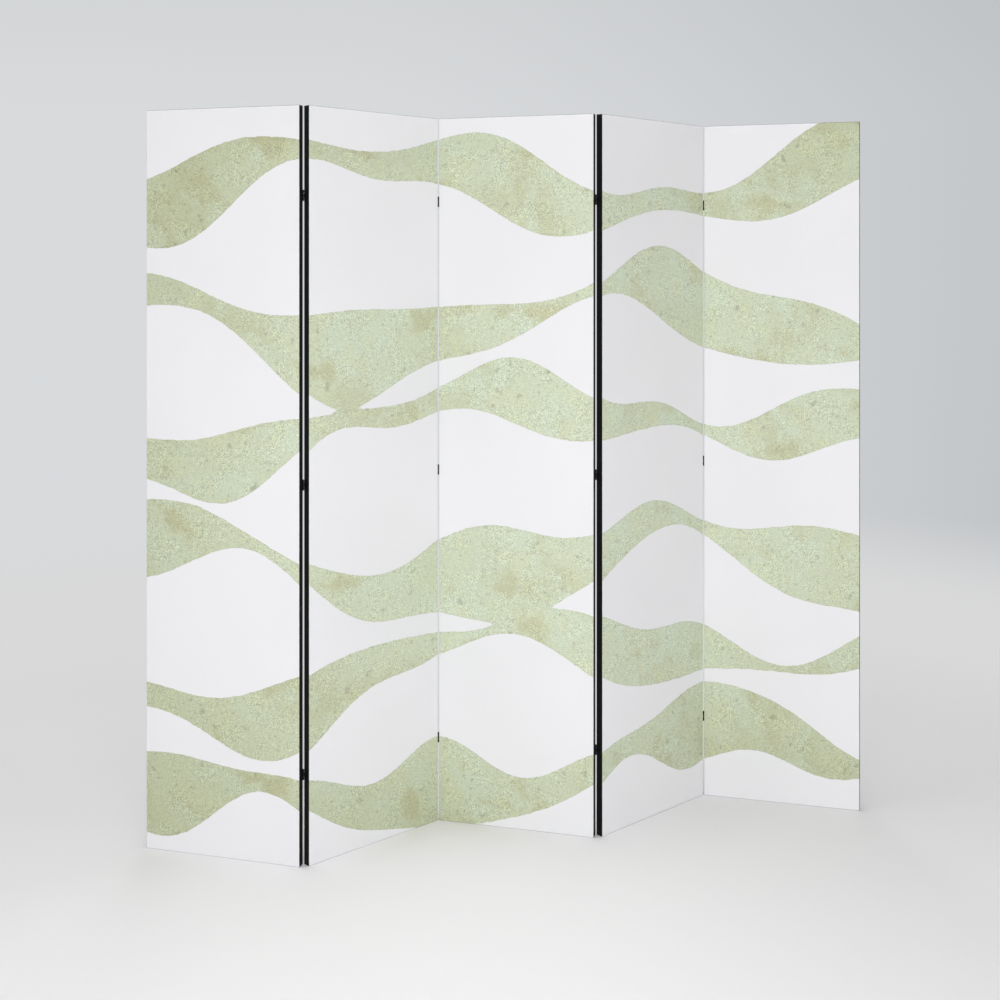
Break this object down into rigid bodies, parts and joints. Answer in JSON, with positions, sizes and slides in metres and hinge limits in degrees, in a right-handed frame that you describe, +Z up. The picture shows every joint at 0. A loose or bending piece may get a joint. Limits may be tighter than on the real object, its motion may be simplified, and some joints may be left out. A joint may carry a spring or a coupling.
{
  "type": "room divider",
  "caption": "Free-standing folding screen: upright panels of printed canvas stretched over mitred pine frames, joined by small butt hinges so that it folds up like a concertina.",
  "frame": {"origin": "on the floor, under the middle of the middle panel, which is the centre of the base", "axes": "+Z up; +X along the row of panels, to the right as seen from the printed side; +Y from the printed front to the plain back"},
  "size_m": [1.789, 0.2148, 1.775],
  "materials": {
    "pine": "planed, unfinished",
    "printed_canvas": "matt woven canvas with a print, black round the edges",
    "plain_canvas": "matt unprinted cloth",
    "hinge_plate": "black, satin",
    "hinge_pin": "plain steel wire",
    "screw": "black, satin",
    "staple_wire": "galvanised"
  },
  "bodies": {
    "panel_1": {"panel_1_left_stile": "pine", "panel_1_right_stile": "pine", "panel_1_top_rail": "pine", "panel_1_middle_rail": "pine", "panel_1_bottom_rail": "pine", "panel_1_front_canvas": "printed_canvas", "panel_1_back_canvas": "plain_canvas", "panel_1_staples": "staple_wire", "fold_1_2_left_leaves": "hinge_plate", "fold_1_2_left_screws": "screw", "fold_1_2_pins": "hinge_pin"},
    "panel_2": {"panel_2_left_stile": "pine", "panel_2_right_stile": "pine", "panel_2_top_rail": "pine", "panel_2_middle_rail": "pine", "panel_2_bottom_rail": "pine", "panel_2_front_canvas": "printed_canvas", "panel_2_back_canvas": "plain_canvas", "panel_2_staples": "staple_wire", "fold_1_2_right_leaves": "hinge_plate", "fold_1_2_right_screws": "screw", "fold_2_3_left_leaves": "hinge_plate", "fold_2_3_left_screws": "screw", "fold_2_3_pins": "hinge_pin"},
    "panel_3": {"panel_3_left_stile": "pine", "panel_3_right_stile": "pine", "panel_3_top_rail": "pine", "panel_3_middle_rail": "pine", "panel_3_bottom_rail": "pine", "panel_3_front_canvas": "printed_canvas", "panel_3_back_canvas": "plain_canvas", "panel_3_staples": "staple_wire", "fold_2_3_right_leaves": "hinge_plate", "fold_2_3_right_screws": "screw", "fold_3_4_left_leaves": "hinge_plate", "fold_3_4_left_screws": "screw", "fold_3_4_pins": "hinge_pin"},
    "panel_4": {"panel_4_left_stile": "pine", "panel_4_right_stile": "pine", "panel_4_top_rail": "pine", "panel_4_middle_rail": "pine", "panel_4_bottom_rail": "pine", "panel_4_front_canvas": "printed_canvas", "panel_4_back_canvas": "plain_canvas", "panel_4_staples": "staple_wire", "fold_3_4_right_leaves": "hinge_plate", "fold_3_4_right_screws": "screw", "fold_4_5_left_leaves": "hinge_plate", "fold_4_5_left_screws": "screw", "fold_4_5_pins": "hinge_pin"},
    "panel_5": {"panel_5_left_stile": "pine", "panel_5_right_stile": "pine", "panel_5_top_rail": "pine", "panel_5_middle_rail": "pine", "panel_5_bottom_rail": "pine", "panel_5_front_canvas": "printed_canvas", "panel_5_back_canvas": "plain_canvas", "panel_5_staples": "staple_wire", "fold_4_5_right_leaves": "hinge_plate", "fold_4_5_right_screws": "screw"}
  },
  "joints": [
    {"name": "fold_2_3", "type": "hinge", "parent": "panel_3", "child": "panel_2", "pos_m": [-0.1793, 0.09244, 0], "axis": [0, 0, 1], "range_deg": [-60, 120]},
    {"name": "fold_1_2", "type": "hinge", "parent": "panel_2", "child": "panel_1", "pos_m": [-0.53791, -0.09244, 0], "axis": [0, 0, -1], "range_deg": [-60, 120]},
    {"name": "fold_3_4", "type": "hinge", "parent": "panel_3", "child": "panel_4", "pos_m": [0.1793, -0.09244, 0], "axis": [0, 0, 1], "range_deg": [-60, 120]},
    {"name": "fold_4_5", "type": "hinge", "parent": "panel_4", "child": "panel_5", "pos_m": [0.53791, 0.09244, 0], "axis": [0, 0, -1], "range_deg": [-60, 120]}
  ],
  "couplings": [
    {"joint": "fold_1_2", "follows": "fold_2_3", "ratio": 1},
    {"joint": "fold_4_5", "follows": "fold_3_4", "ratio": 1}
  ]
}
